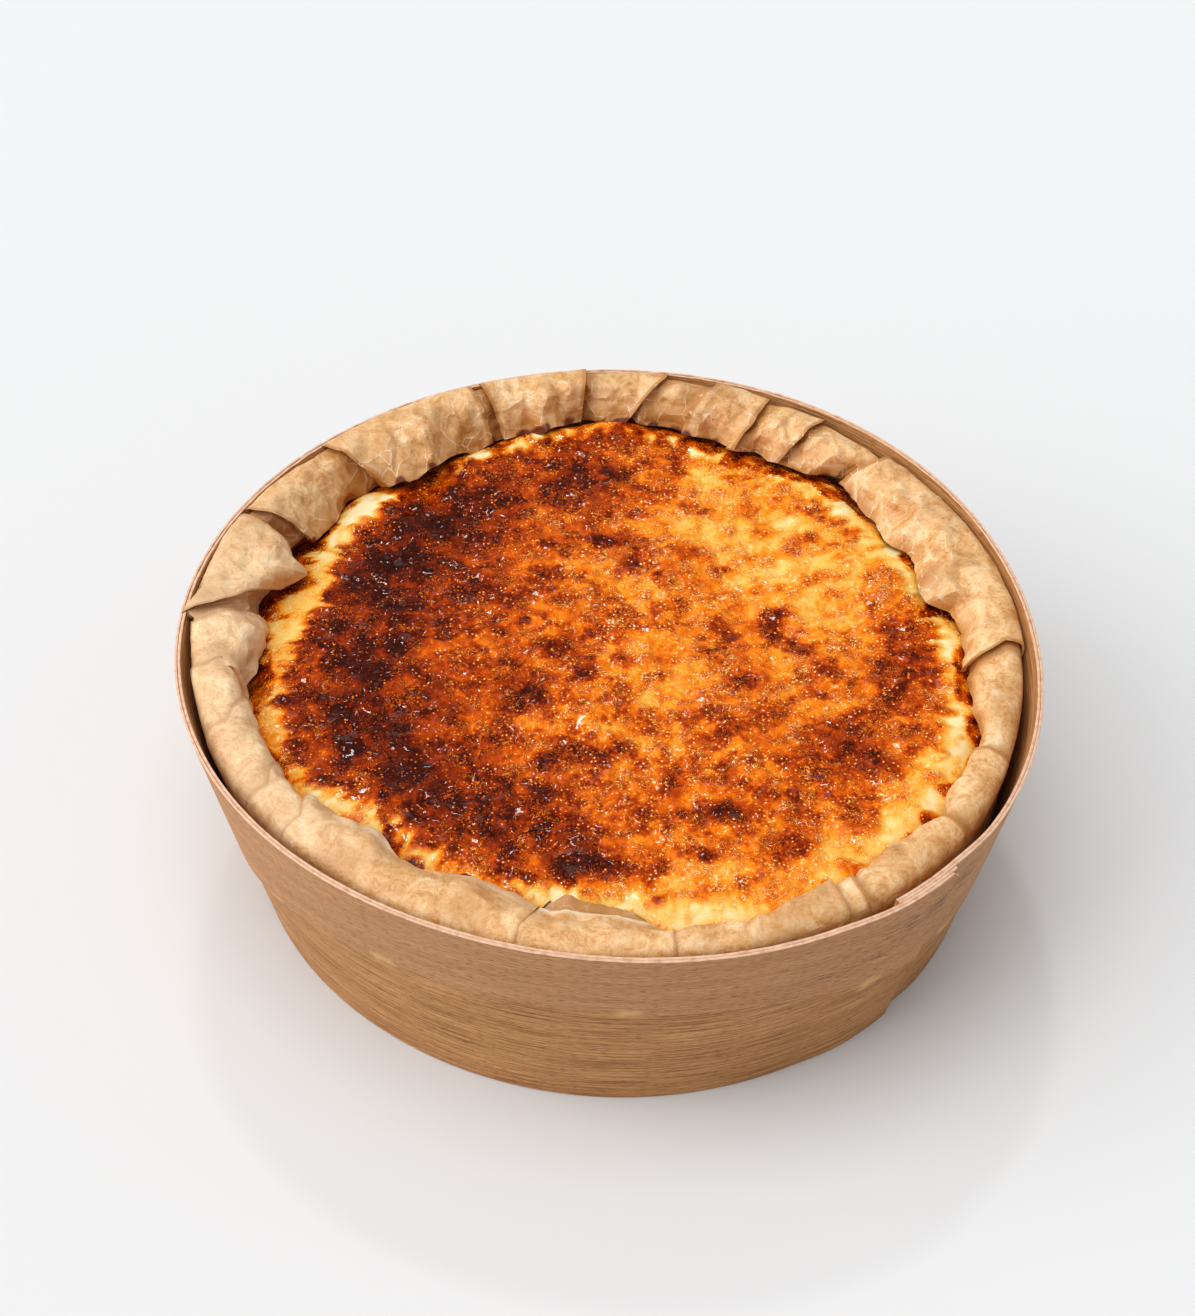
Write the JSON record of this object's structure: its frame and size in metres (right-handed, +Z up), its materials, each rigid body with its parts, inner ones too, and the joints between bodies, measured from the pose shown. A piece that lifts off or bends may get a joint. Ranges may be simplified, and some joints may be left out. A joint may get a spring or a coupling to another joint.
{
  "type": "basque cheesecake",
  "caption": "Round burnt cheesecake with a blistered dark top, baked in pleated brown paper inside a flared, lapped wood-veneer mould with a flat base.",
  "frame": {"origin": "middle of the mould's underside, on the surface it stands on", "axes": "+Z up; -Y the front; +X to the right, with the lap of the veneer strips at the front right, between +X and -Y"},
  "size_m": [0.1595, 0.1595, 0.0482],
  "materials": {
    "burnt_cream": "baked custard, browned to black in places, with a thin oily gloss",
    "baking_paper": "unbleached baking paper, mottled, satin, oily near the cake",
    "poplar_veneer": "rotary-cut poplar veneer, unfinished, fine level grain",
    "poplar_band": "rotary-cut poplar veneer, unfinished, slightly pinker"
  },
  "bodies": {
    "root": {"cheesecake": "burnt_cream", "liner": "baking_paper", "tub_wall": "poplar_veneer", "tub_band": "poplar_band", "tub_base": "poplar_veneer"}
  },
  "joints": []
}
